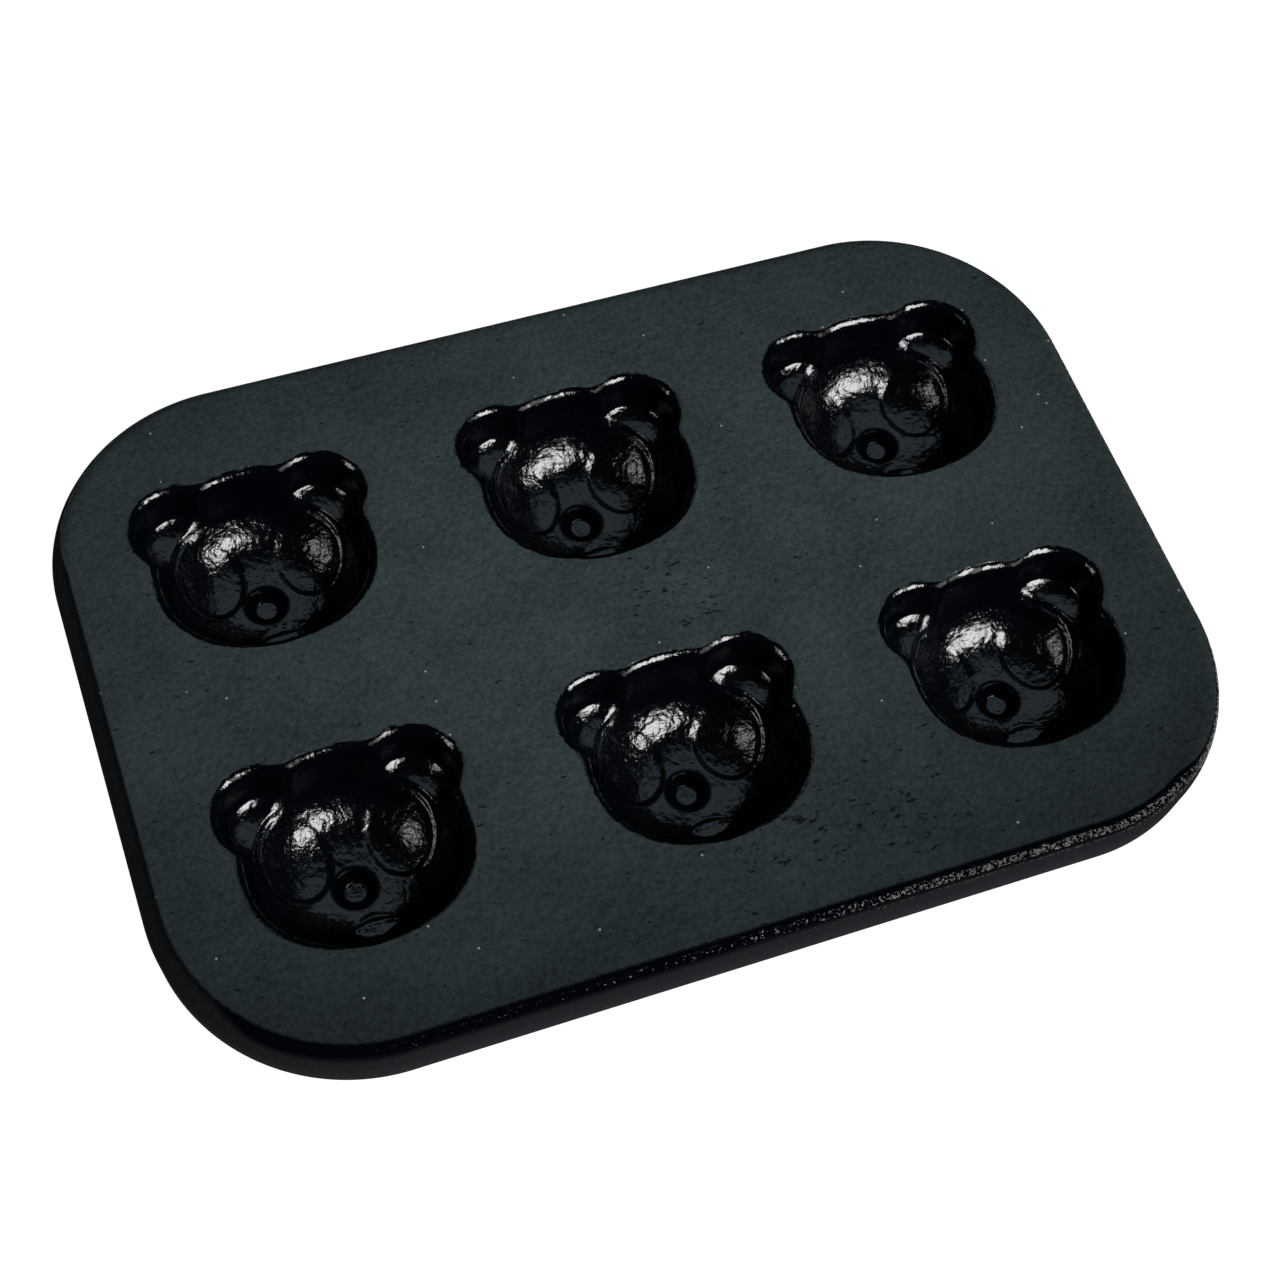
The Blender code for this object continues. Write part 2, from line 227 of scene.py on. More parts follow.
def eye_sink(x, y, side):
    """How much deeper than the bowl an eye patch lies, with a level ledge along its outer edge."""
    off_x = x - side * EYE_SIDE
    off_y = y - EYE_UP
    lean = side * EYE_LEAN
    u = (off_x * math.cos(lean) + off_y * math.sin(lean)) / EYE_HALF_WIDTH
    v = (off_y * math.cos(lean) - off_x * math.sin(lean)) / EYE_HALF_HEIGHT
    ring = np.hypot(u, v)
    past = (ring - 1) * ring / np.maximum(np.hypot(u / EYE_HALF_WIDTH, v / EYE_HALF_HEIGHT), 1e-6)
    step = np.clip(0.5 - past / EYE_STEP, 0, 1)
    towards_top = 0.5 + 0.5 * np.clip(v, -1, 1)
    deepest = EYE_SINK_AT_CHEEK + (EYE_SINK_AT_TOP - EYE_SINK_AT_CHEEK) * towards_top
    outer = np.clip(LEDGE_OUTWARDS * side * u + LEDGE_UPWARDS * v, 0, 1)
    over_ledge = np.clip(2 * past / LEDGE_WIDTH - 1, -1, 1)
    return step ** 2 * (3 - 2 * step) * deepest + LEDGE_DEPTH * outer * (1 - over_ledge ** 2) ** 2


for spot, y in (("top", EYE_UP + EYE_HALF_HEIGHT / 2), ("cheek", EYE_UP - EYE_HALF_HEIGHT / 2)):
    print(f"an eye patch lies {eye_sink(EYE_SIDE, y, 1) / MM:.2f} mm below the bowl at its {spot}")

# %% [markdown]
# The nose is a small dish with a flat floor, and the mouth is a level lens below it, with a shallow crease
# under the muzzle.

# %% The nose and the mouth
NOSE_LEFT = 1.0 * MM
NOSE_DOWN = 0.4 * MM
NOSE_RIM = 4.5 * MM
NOSE_FLOOR = 2.4 * MM
NOSE_SINK = 2.4 * MM
MOUTH_DOWN = 10.9 * MM
MOUTH_RIGHT = 0.6 * MM
MOUTH_HALF_LENGTH = 5.0 * MM
MOUTH_HALF_HEIGHT = 2.1 * MM
MOUTH_DEPTH = 17.7 * MM
MOUTH_DRAFT = 0.35
MOUTH_CREASE = 0.40 * MM
CREASE_WIDTH = 0.8 * MM
CREASE_REACH = 1.3
SMALL_FILLET = 0.3 * MM


def dish(x, y, rim, floor, depth):
    """A round dish with a flat floor, sunk below this depth."""
    cone = depth + (rim - np.hypot(x, y)) * NOSE_SINK / (rim - floor)
    return soft_min(cone, depth + NOSE_SINK + 0 * x, SMALL_FILLET)


def nose_depth(x, y):
    return dish(x + NOSE_LEFT, y + NOSE_DOWN, NOSE_RIM, NOSE_FLOOR, HEAD_DEPTH)


def mouth_reach(x):
    """Half the mouth's height, which falls to nothing at its corners."""
    return MOUTH_HALF_HEIGHT * (1 - ((x - MOUTH_RIGHT) / MOUTH_HALF_LENGTH) ** 2)


def mouth_depth(x, y):
    """The lens: level inside its edge, with a rounded corner there and drafted sides beyond."""
    past = np.abs(y + MOUTH_DOWN) - mouth_reach(x)
    return MOUTH_DEPTH - 0.5 * (past + np.sqrt(past ** 2 + SMALL_FILLET ** 2)) / MOUTH_DRAFT


def mouth_crease(x, y):
    """A shallow crease under the muzzle, just above the mouth."""
    across = (y - (mouth_reach(x) - MOUTH_DOWN) - CREASE_WIDTH) / CREASE_WIDTH
    along = np.clip(CREASE_REACH - ((x - MOUTH_RIGHT) / MOUTH_HALF_LENGTH) ** 2, 0, 1)
    return MOUTH_CREASE * along * np.exp(-across ** 2)


def face_depth(x, y):
    """Depth of the cavity below the deck at a point of the face's map."""
    depth = bowl_depth(x, y)
    for side in SIDES:
        depth = depth + eye_sink(x, y, side)
    depth = depth + mouth_crease(x, y)
    depth = soft_min(depth, lip_depth(distance_inside(x, y)), LIP_FILLET)
    depth = soft_max(depth, nose_depth(x, y), SMALL_FILLET)
    return soft_max(depth, mouth_depth(x, y), SMALL_FILLET)


print(f"the nose is {face_depth(-NOSE_LEFT, -NOSE_DOWN) / MM:.1f} mm deep")

# %% [markdown]
# Iron poured in sand is never quite true. A ripple of a few hundredths of a millimetre makes the lips
# wander and breaks up the highlights. It is a sum of sine waves in odd directions, so that it never
# repeats within the pan, and it needs no random numbers.

# %% The ripple of the casting
RIPPLE_WAVES = 14
WAVE_TURN = 2.39996
SLOWEST_WAVE = 0.6
WAVE_QUICKENS = 0.09
WAVE_LAG = 1.7
FINE_RIPPLE = 0.02 * MM
FINE_LENGTH = 2.6 * MM
BROAD_RIPPLE = 0.03 * MM
BROAD_LENGTH = 9 * MM


def ripple(x, y, length):
    """A smooth unevenness between about -1 and 1, with waves of about this length."""
    total = 0 * x
    for wave in range(RIPPLE_WAVES):
        heading = WAVE_TURN * wave
        pace = math.tau / length * (SLOWEST_WAVE + WAVE_QUICKENS * wave)
        total = total + np.sin(pace * (x * math.cos(heading) + y * math.sin(heading)) + WAVE_LAG * wave)
    return total / math.sqrt(RIPPLE_WAVES)


def cast_depth(x, y, centre):
    """The relief with the unevenness of the casting, which differs from cup to cup."""
    far_x, far_y = x + centre[0], y + centre[1]
    fine = FINE_RIPPLE * ripple(far_x, far_y, FINE_LENGTH)
    return face_depth(x, y) + (fine + BROAD_RIPPLE * ripple(far_x, far_y, BROAD_LENGTH))


for name, centre in face_centres.items():
    print(f"{name} is cast {(cast_depth(0.0, 0.0, centre) - face_depth(0.0, 0.0)) / MM:+.3f} mm off true")

# %% [markdown]
# The oil film isn't equally bright everywhere: it is made dull, as painted shade, on the steep walls, on the
# side that leans away from the light, on the nose's wall and in the nooks, so that these stay black. It could
# be painted on by hand, but the relief's slopes tell where it is, so every point of a cup gets a number that
# the finish reads later.

# %% The gleam of the oil, dulled as painted shade
SLOPE_REACH = 0.05 * MM
STEEP = (1.1, 1.9)
AWAY_RIGHT = 0.45
AWAY_UP = 0.89
TURNED_AWAY = (0.30, 0.80)
NOSE_WALL_TOP = (5.6 * MM, 5.1 * MM)
NOSE_WALL_FOOT = (2.1 * MM, 2.5 * MM)
NOOK_SIDE = 9.6 * MM
NOOK_HALF_WIDTH = 3.2 * MM
NOOK_UP = (19 * MM, 21 * MM)
STEEP_DULLS = 0.85
AWAY_DULLS = 0.70
NOSE_WALL_DULLS = 0.95
NOOK_DULLS = 0.90


def ramp(value, start, end):
    """0 at start, 1 at end and a straight line between them; start may be the larger."""
    return np.clip((value - start) / (end - start), 0, 1)


def gleam_with_painted_shade(x, y):
    """1 where the oil film shines, and less, as painted shade, on steep walls, turned sides, the nose's wall
    and the nooks.
    """
    slope_x = (face_depth(x + SLOPE_REACH, y) - face_depth(x - SLOPE_REACH, y)) / (2 * SLOPE_REACH)
    slope_y = (face_depth(x, y + SLOPE_REACH) - face_depth(x, y - SLOPE_REACH)) / (2 * SLOPE_REACH)
    steep = ramp(np.hypot(slope_x, slope_y), *STEEP)
    away = ramp(AWAY_RIGHT * slope_x + AWAY_UP * slope_y, *TURNED_AWAY)
    off_nose = np.hypot(x + NOSE_LEFT, y + NOSE_DOWN)
    nose_wall = ramp(off_nose, *NOSE_WALL_TOP) * ramp(off_nose, *NOSE_WALL_FOOT)
    nook = np.exp(-((np.abs(x) - NOOK_SIDE) / NOOK_HALF_WIDTH) ** 4) * ramp(y, *NOOK_UP)
    # painted shade: where the oil is dulled it shows black instead of mirroring light
    dull = np.maximum(STEEP_DULLS * steep, AWAY_DULLS * away)
    return 1 - np.maximum(dull, np.maximum(NOSE_WALL_DULLS * nose_wall, NOOK_DULLS * nook))


for spot, x in (("cheek", EYE_SIDE), ("steep wall", HEAD_HALF_WIDTH - LIP_WIDTH)):
    print(f"the oil gleams {gleam_with_painted_shade(x, 0.0):.2f} on the {spot}")

# %% [markdown]
# Underneath, the wall follows the cavity at a constant distance, as a core is cut to follow its mould.
# A low round foot below the nose is what the pan stands on, and a fillet leads up into the plate.

# %% The cup's outside
DECK_THICKNESS = 4.5 * MM
CUP_WALL = 4.0 * MM
FOOT_DOWN = 0.6 * MM
FOOT_RADIUS = 6.2 * MM
FOOT_TAPER = 1.8 * MM
SHELL_EAR_FILLET = 2.5 * MM
FOOT_FILLET = 1.0 * MM
SHELL_FILLET = 3.0 * MM


def shell_depth(x, y):
    """Depth of the cup's outside, which runs up into the underside of the deck with a fillet."""
    depth = head_depth(x, y, CUP_WALL)
    for side in SIDES:
        depth = soft_max(depth, ear_depth(x, y, side, CUP_WALL), SHELL_EAR_FILLET)
    foot = dish(x, y + FOOT_DOWN, FOOT_RADIUS + FOOT_TAPER, FOOT_RADIUS, HEAD_DEPTH + CUP_WALL)
    depth = soft_max(depth, foot, FOOT_FILLET)
    return soft_max(depth, DECK_THICKNESS + 0 * x, SHELL_FILLET)


print(f"the foot stands {shell_depth(0.0, -FOOT_DOWN) / MM:.1f} mm below the top")

# %% [markdown]
# Each face is a net of rings and spokes, like a spider's web laid in the cup. A grid of squares would cross
# the lip in steps, and rings follow it. A line of points is spun round once, which gives a closed bag with a
# pole at each end, and every knot is then moved to its place.
# The rings run from the middle of the cavity out to the lip, down through the deck, and back to the middle
# of the foot underneath, so the cup is one closed shell.

# %% The net
SPOKES = 384
INNER_RINGS = 140
OUTER_RINGS = 44
RINGS = INNER_RINGS + OUTER_RINGS + 1
ANGLES = np.arange(SPOKES) * math.tau / SPOKES
SAME_POINT = 1e-5


def spun_net(name):
    """A closed mesh of rings and spokes, and for each of its vertices the ring and spoke it stands on."""
    bm = bmesh.new()
    line = []
    for ring in range(RINGS):
        at_pole = ring in (0, RINGS - 1)
        line.append(bm.verts.new((0.0 if at_pole else 1.0, 0.0, float(ring))))
    edges = [bm.edges.new(pair) for pair in zip(line, line[1:])]
    bmesh.ops.spin(bm, geom=line + edges, cent=(0, 0, 0), axis=(0, 0, 1), angle=math.tau,
                   steps=SPOKES, use_merge=True)
    bmesh.ops.remove_doubles(bm, verts=bm.verts, dist=SAME_POINT)
    bmesh.ops.recalc_face_normals(bm, faces=bm.faces)
    mesh = bpy.data.meshes.new(name)
    bm.to_mesh(mesh)
    bm.free()
    knots = np.empty(len(mesh.vertices) * 3, np.float32)
    mesh.vertices.foreach_get("co", knots)
    knots = knots.reshape(-1, 3)
    ring = np.rint(knots[:, 2]).astype(int)
    spoke = np.rint(np.arctan2(knots[:, 1], knots[:, 0]) / math.tau * SPOKES).astype(int) % SPOKES
    return mesh, ring, spoke


net, net_ring, net_spoke = spun_net("cup_net")
print(f"a net of {RINGS} rings and {SPOKES} spokes, {len(net.polygons)} faces")

# %% [markdown]
# The lip is where the uneven relief comes up to the ground top. No formula gives that radius, so it is
# found along each spoke by halving the interval that holds it, and the rings are then spread inside it.

# %% How far out the lip and the rim lie
HALVINGS = 40
LIP_BETWEEN = (18 * MM, 32 * MM)
RIM_BETWEEN = (22 * MM, 40 * MM)
JUST_BELOW = 0.001 * MM


def along_spokes(radius):
    """The x and y of a point on each spoke at this radius from the face's centre."""
    return radius * np.cos(ANGLES), radius * np.sin(ANGLES)


def outline_radius(depth_at, level, nearest, farthest):
    """How far out each spoke reaches a depth."""
    low = np.full(SPOKES, nearest)
    high = np.full(SPOKES, farthest)
    for _ in range(HALVINGS):
        middle = (low + high) / 2
        deeper = depth_at(*along_spokes(middle)) > level
        low = np.where(deeper, middle, low)
        high = np.where(deeper, high, middle)
    return (low + high) / 2


def lip_radius(centre):
    return outline_radius(lambda x, y: cast_depth(x, y, centre), 0.0, *LIP_BETWEEN)


rim = outline_radius(shell_depth, DECK_THICKNESS + JUST_BELOW, *RIM_BETWEEN)
print(f"under the deck a cup's rim runs {rim.min() / MM:.1f} to {rim.max() / MM:.1f} mm from its centre")

# %% The cups
LIP_CROWDING = 1.3
SHALLOWEST = 0.003 * MM
CUP_CREASE = 50


def smooth_by_angle(mesh, degrees):
    mesh.shade_smooth()
    mesh.set_sharp_from_angle(angle=math.radians(degrees))


def cup_points(centre):
    """Where each knot of the net goes, and how far it gleams with its painted shade: arrays of rings by
    spokes.
    """
    lip = lip_radius(centre)
    rows = []
    shine_with_painted_shade = np.ones((RINGS, SPOKES))
    for ring, step in enumerate(np.linspace(0, 1, INNER_RINGS)):
        x, y = along_spokes(lip * (1 - (1 - step) ** LIP_CROWDING))
        depth = np.maximum(cast_depth(x, y, centre), SHALLOWEST) if step < 1 else 0 * x
        rows.append((x, y, -depth))
        shine_with_painted_shade[ring] = gleam_with_painted_shade(x, y)
    x, y = along_spokes(lip)
    rows.append((x, y, 0 * x - DECK_THICKNESS))
    for step in np.linspace(1, 0, OUTER_RINGS):
        x, y = along_spokes(rim * step)
        rows.append((x, y, -shell_depth(x, y)))
    points = np.array(rows).transpose(0, 2, 1)
    return points + np.array((centre[0], centre[1], TOP)), shine_with_painted_shade


def cast_cup(name, centre):
    mesh = net.copy()
    mesh.name = name
    points, shine_with_painted_shade = cup_points(centre)
    mesh.vertices.foreach_set("co", points[net_ring, net_spoke].astype(np.float32).ravel())
    marks = {"gleam_with_painted_shade": shine_with_painted_shade[net_ring, net_spoke], "outside": net_ring > INNER_RINGS}
    for mark, values in marks.items():
        attribute = mesh.attributes.new(mark, "FLOAT", "POINT")
        attribute.data.foreach_set("value", values.astype(np.float32))
    mesh.update()
    smooth_by_angle(mesh, CUP_CREASE)
    cup = bpy.data.objects.new(name, mesh)
    bpy.context.scene.collection.objects.link(cup)
    return cup


cups = {}
for place, centre in face_centres.items():
    cups[place] = cast_cup(f"face_cup_{place}", centre)
print(f"{len(cups)} cups of {len(net.polygons)} faces")

# %% [markdown]
# The deck is the plate that joins the cups, and its edge is rolled over into a short skirt. The outline gives
# the points of one ring round the plate. The profile says how far in and how low each further ring lies.

# %% The deck's outline
CORNER_RADIUS = 43.6 * MM
CORNER_STEPS = 72
LONG_STEPS = 150
SHORT_STEPS = 80
CORNERS = ((1, 1), (-1, 1), (-1, -1), (1, -1))


def deck_outline(inset):
    """Points round the plate, an array of points by two, moved in by inset."""
    reach_x = deck_high.x - CORNER_RADIUS
    reach_y = deck_high.y - CORNER_RADIUS
    radius = CORNER_RADIUS - inset
    points = []
    for corner, (side_x, side_y) in enumerate(CORNERS):
        turn = math.pi / 2 * (corner + np.arange(CORNER_STEPS + 1) / CORNER_STEPS)
        points += list(zip(side_x * reach_x + radius * np.cos(turn), side_y * reach_y + radius * np.sin(turn)))
        along_x = corner % 2 == 0
        start = points[-1]
        end = (-start[0], start[1]) if along_x else (start[0], -start[1])
        steps = LONG_STEPS if along_x else SHORT_STEPS
        for part in np.arange(1, steps) / steps:
            points.append((start[0] + (end[0] - start[0]) * part, start[1] + (end[1] - start[1]) * part))
    return np.array(points)


print(f"{len(deck_outline(0))} points round the plate")

# %% The deck's edge
EDGE_ROUNDING = 4.4 * MM
EDGE_START = math.radians(2)
EDGE_STEPS = 10
SKIRT_HEIGHT = TOP - deck_low.z
SKIRT_WALL = 4.5 * MM
SKIRT_TAPER = 0.5 * MM
SKIRT_CHAMFER = 0.5 * MM
SKIRT_STEPS = (0.3, 0.6, 0.9)
CHAMFER_BEND = 0.3
INNER_ROUNDING = 4.4 * MM
INNER_STEPS = 7


def deck_profile():
    """The plate's edge from the ground top over the rolled edge to the underside: insets and levels."""
    tilt = np.linspace(EDGE_START, math.pi / 2, EDGE_STEPS)
    drop = EDGE_ROUNDING * (math.cos(EDGE_START) - np.cos(tilt))
    profile = list(zip(EDGE_ROUNDING * (1 - np.sin(tilt)), -drop))
    inner = SKIRT_TAPER + SKIRT_WALL
    foot = -SKIRT_HEIGHT
    for share in SKIRT_STEPS:
        profile.append((SKIRT_TAPER * share, -drop[-1] + (foot + SKIRT_CHAMFER + drop[-1]) * share))
    profile += [
        (SKIRT_TAPER, foot + SKIRT_CHAMFER),
        (SKIRT_TAPER + CHAMFER_BEND * SKIRT_CHAMFER, foot + CHAMFER_BEND * SKIRT_CHAMFER),
        (SKIRT_TAPER + SKIRT_CHAMFER, foot),
        (inner - SKIRT_CHAMFER, foot),
        (inner, foot + SKIRT_CHAMFER),
    ]
    bend = np.linspace(0, math.pi / 2, INNER_STEPS)
    insets = inner + INNER_ROUNDING * (1 - np.cos(bend))
    return profile + list(zip(insets, -DECK_THICKNESS - INNER_ROUNDING * (1 - np.sin(bend))))


print(f"{len(deck_profile())} rings from the top down the skirt to the underside")

# %% [markdown]
# The plate is made from its edges. A ring of edges is extruded from place to place, which makes the rolled
# edge, and each mouth is a short tube through the plate, made in the same way. Filling the top and the
# underside between the rings gives the plate itself, with the mouths left open. Cutting them out with a
# Boolean would be quicker to write, but its edge wouldn't meet the cups' lips point for point.

# %% The deck's mesh
RAGGED_EDGE = 0.15 * MM
RAGGED_LENGTH = 3.0 * MM
DECK_CREASE = 12


def ring_of(bm, points):
    """A closed ring of edges, made from Blender's own circle and moved to these points."""
    verts = bmesh.ops.create_circle(bm, radius=1.0, segments=len(points))["verts"]
    verts.sort(key=lambda vert: math.atan2(vert.co.y, vert.co.x) % math.tau)
    for vert, point in zip(verts, points):
        vert.co = point
    return verts, list({edge for vert in verts for edge in vert.link_edges})


def carried_down(bm, ring, places):
    """Extrudes a ring through each further place, and gives the last ring's edges."""
    verts, edges = ring
    for points in places:
        number_of = {vert: number for number, vert in enumerate(verts)}
        made = bmesh.ops.extrude_edge_only(bm, edges=edges)["geom"]
        below = {}
        for vert in (item for item in made if isinstance(item, bmesh.types.BMVert)):
            for edge in vert.link_edges:
                above = edge.other_vert(vert)
                if above in number_of:
                    below[number_of[above]] = vert
        verts = [below[number] for number in range(len(verts))]
        for vert, point in zip(verts, points):
            vert.co = point
        edges = [item for item in made if isinstance(item, bmesh.types.BMEdge) and item.is_boundary]
    return edges


def edge_rings():
    """The rings of the rolled edge, where the ground face ends in a slightly ragged line."""
    rings = []
    for number, (inset, level) in enumerate(deck_profile()):
        outline = deck_outline(inset)
        ragged = RAGGED_EDGE * (number == 0) * ripple(outline[:, 0], outline[:, 1], RAGGED_LENGTH)
        pull = 1 - np.abs(ragged) / np.hypot(outline[:, 0], outline[:, 1])
        rings.append(np.column_stack([outline * pull[:, None], np.full(len(outline), TOP + level)]))
    return rings


def cast_deck():
    bm = bmesh.new()
    rings = edge_rings()
    edge_ring = ring_of(bm, rings[0])
    top_edges = list(edge_ring[1])
    under_edges = carried_down(bm, edge_ring, rings[1:])
    for centre in face_centres.values():
        lip = lip_radius(centre)
        x, y = along_spokes(lip)
        flat = np.column_stack([centre[0] + x, centre[1] + y, 0 * lip + TOP])
        mouth = ring_of(bm, flat)
        top_edges += mouth[1]
        under_edges += carried_down(bm, mouth, [flat - np.array((0, 0, DECK_THICKNESS))])
    for edges in (top_edges, under_edges):
        bmesh.ops.triangle_fill(bm, edges=edges, use_beauty=True)
    bmesh.ops.recalc_face_normals(bm, faces=bm.faces)
    loose = sum(not edge.is_manifold for edge in bm.edges)
    mesh = bpy.data.meshes.new("cast_deck")
    bm.to_mesh(mesh)
    bm.free()
    smooth_by_angle(mesh, DECK_CREASE)
    print(f"deck of {len(mesh.polygons)} faces, {loose} open edges")
    deck = bpy.data.objects.new("cast_deck", mesh)
    bpy.context.scene.collection.objects.link(deck)
    return deck


deck = cast_deck()

# %% [markdown]
# Shader maths reads best as plain expressions. This small class wraps a socket, so that 1 - mask or
# mask * 0.3 adds the Math node by itself. Every other node comes from one method that takes the node's
# kind, its settings and what goes into its sockets.

# %% Shader expressions


class Tone:
    """A socket in a material's node tree, usable in Python expressions."""

    def __init__(self, tree, socket=None):
        self.tree = tree
        self.socket = socket

    def node(self, kind, settings=None, sockets=None, output=0):
        """A new node of this kind, and the Tone of one of its outputs."""
        made = self.tree.nodes.new("ShaderNode" + kind)
        for name, value in (settings or {}).items():
            setattr(made, name, value)
        for name, value in (sockets or {}).items():
            if isinstance(value, Tone):
                self.tree.links.new(value.socket, made.inputs[name])
            else:
                made.inputs[name].default_value = value
        return Tone(self.tree, made.outputs[output])

    def maths(self, operation, other=0.0):
        return self.node("Math", {"operation": operation}, {0: self, 1: other})

    def __add__(self, other):
        return self.maths("ADD", other)

    def __radd__(self, other):
        return self.maths("ADD", other)

    def __sub__(self, other):
        return self.maths("SUBTRACT", other)

    def __rsub__(self, other):
        return self.node("Math", {"operation": "SUBTRACT"}, {0: other, 1: self})

    def __mul__(self, other):
        return self.maths("MULTIPLY", other)

    def __rmul__(self, other):
        return self.maths("MULTIPLY", other)

    def __abs__(self):
        return self.maths("ABSOLUTE")

    def at_least(self, other):
        return self.maths("MAXIMUM", other)

    def at_most(self, other):
        return self.maths("MINIMUM", other)

    def between(self, low, high):
        """0 below low, 1 above high and a soft step from one to the other; low may be the larger."""
        ends = {"From Min": min(low, high), "From Max": max(low, high)}
        if low > high:
            ends.update({"To Min": 1.0, "To Max": 0.0})
        return self.node("MapRange", {"interpolation_type": "SMOOTHSTEP"}, {"Value": self, **ends})

    def blend(self, first, second):
        """One colour where this is 0 and another where it is 1; sockets 6 and 7 are a Mix node's colours."""
        return self.node("Mix", {"data_type": "RGBA"}, {0: self, 6: first, 7: second}, output=2)

    def part(self, axis):
        """One of the three numbers of a place."""
        return self.node("SeparateXYZ", {}, {0: self}, output=axis)

    def vector(self, operation, other, output=0):
        return self.node("VectorMath", {"operation": operation}, {0: self, 1: other}, output)

    def mark(self, name):
        """A number that the mesh carries at each of its points."""
        return self.node("Attribute", {"attribute_name": name}, output=2)

    def noise(self, per_mm, detail, roughness=0.5):
        """Cloudy noise at this many lumps to the millimetre, read at this place."""
        sockets = {"Vector": self, "Scale": per_mm, "Detail": detail, "Roughness": roughness}
        return self.node("TexNoise", {}, sockets)

    def spots(self, per_mm, share, small, large):
        """Round spots scattered over this place; share is how many of the cells hold one."""
        flat = {"voronoi_dimensions": "2D"}
        distance = self.node("TexVoronoi", flat, {"Vector": self, "Scale": per_mm})
        cell = self.node("TexVoronoi", flat, {"Vector": self, "Scale": per_mm}, output=1)
        chance = self.node("SeparateColor", {}, {0: cell})
        return distance.between(large, small) * chance.between(share, share * 0.9)


# %% [markdown]
# The materials count in millimetres. A place is a point of the pan, and its height is 0 on the ground top
# and negative everywhere else. A photograph of iron could be laid on the pan, but noise stays sharp at any
# distance and needs no file. The name of a noise stands for its lumps to the millimetre, its detail and its
# roughness. Two of them are everywhere on the casting: the fine grain and the coarser lumps.

# %% Texture of the iron
TOP_MM = TOP / MM
GRAIN = (2.6, 3.0, 0.6)
LUMPS = (0.9, 2.0)
BLACK_OIL = (0.0005, 0.0010, 0.0019, 1)
OIL_GRAIN_RELIEF = 0.02


def iron_texture(place):
    """The grain and the lumps, which both swing about 0."""
    return place.noise(*GRAIN) - 0.5, place.noise(*LUMPS) - 0.5


# %% [markdown]
# Gas in the mould left small pits in the iron, and the wheel opened them. They are a noise that counts only
# where it is high, and the bar is lower in three crowded places. In each pair of numbers the first is where a
# thing is absent and the second where it is complete.

# %% The casting pits
PITS = (0.62, 3.0, 0.6)
PIT_STRETCH = (0.6, 1.3, 1.0)
PIT_THRESHOLD = (0.67, 0.76)
PITTED_PLACES = ((37.6, -62.0), (11.7, 1.0), (12.0, -63.0))
PITTED_RADIUS = (17, 7)
PITTED_MORE = 0.065


def pitted(place):
    """1 in the casting pits, of which there are more round the pitted places."""
    crowded = 0.0
    for x, y in PITTED_PLACES:
        crowded = place.vector("DISTANCE", (x, y, TOP_MM), 1).between(*PITTED_RADIUS) + crowded
    noise = place.vector("MULTIPLY", PIT_STRETCH).noise(*PITS)
    return (noise + crowded * PITTED_MORE).between(*PIT_THRESHOLD)


# %% [markdown]
# Where the wheel ground the top, the iron is a matt green grey, a little mottled, with a few specks of dust.
# It is painted darker away from its middle: painted shade, for the light that falls off there. The wheel's
# reach ends in a ragged line a few hundredths of a millimetre below the top, because the grain and the lumps
# stand proud or lie low there.

# %% The ground top
GROUND_DARK = (0.0158, 0.0214, 0.0224, 1)
GROUND_PALE = (0.0475, 0.0640, 0.0665, 1)
# the black that the painted shade blends towards
PAINTED_SHADE_BLACK = (0.0, 0.0, 0.0, 1)
DUST = (0.24, 0.26, 0.26, 1)
GROUND_ENDS = (-0.060, -0.006)
RAGGED_BY_GRAIN = 2.5
RAGGED_BY_LUMPS = 3.5
RAGGED_LEAST = 0.2
CLOUDS = (0.05, 3.0)
GRAIN_MOTTLE = 0.9
CLOUD_MOTTLE = 0.8
DENTS = (0.45, 1.0)
PIT_BLACKNESS = 0.70
# painted shade: the middle, reach and share of the darkening away from the middle of the top
PAINTED_SHADE_MIDDLE = (-5, 18)
PAINTED_SHADE_REACH = (110, 80)
PAINTED_SHADE_SHARE = (0.24, 0.33)
SPECKS_PER_MM = 0.12
SPECK_SHARE = 0.13
SPECK_SIZE = (0.016, 0.040)
GRAIN_RELIEF = 0.045
LUMP_RELIEF = 0.08
DENT_RELIEF = 0.34
PIT_RELIEF = 0.45


def ground_finish(place, height, grain, lumps):
    """Where the wheel has been, its colour there darkened by painted shade, and its bumps in millimetres."""
    ragged = (grain * RAGGED_BY_GRAIN + lumps * RAGGED_BY_LUMPS + 1).at_least(RAGGED_LEAST)
    where = (height * ragged).between(*GROUND_ENDS)
    # painted shade: the colour is blended towards black away from the middle, where the light falls off
    painted_shade = 0.0
    for axis in (0, 1):
        off = (place.part(axis) - PAINTED_SHADE_MIDDLE[axis]) * (1 / PAINTED_SHADE_REACH[axis])
        painted_shade = off * off * PAINTED_SHADE_SHARE[axis] + painted_shade
    mottle = grain * GRAIN_MOTTLE + lumps + (place.noise(*CLOUDS) - 0.5) * CLOUD_MOTTLE + 0.5
    pits = pitted(place)
    colour = painted_shade.blend(mottle.blend(GROUND_DARK, GROUND_PALE), PAINTED_SHADE_BLACK)
    colour = (pits * PIT_BLACKNESS).blend(colour, BLACK_OIL)
    colour = place.spots(SPECKS_PER_MM, SPECK_SHARE, *SPECK_SIZE).blend(colour, DUST)
    dents = place.noise(*DENTS) - 0.5
    bumps = grain * GRAIN_RELIEF + lumps * LUMP_RELIEF + dents * DENT_RELIEF - pits * PIT_RELIEF
    return where, colour, bumps


# %% [markdown]
# The whole pan has two finishes: matt iron, which mirrors nothing, and glossy oil. One finish whose roughness
# changes would be simpler, but no roughness makes oil as dull as bare iron. So a Mix Shader chooses between
# the two at every point. A skin is a function that says how they are laid out on the deck or on a cup.

# %% The two finishes
MATT_ROUGHNESS = 0.62
OIL_SPECULAR = 0.55


def bumped(place, bump):
    """A normal that follows bumps given in millimetres."""
    return place.node("Bump", {}, {"Strength": 1.0, "Distance": MM, "Height": bump})


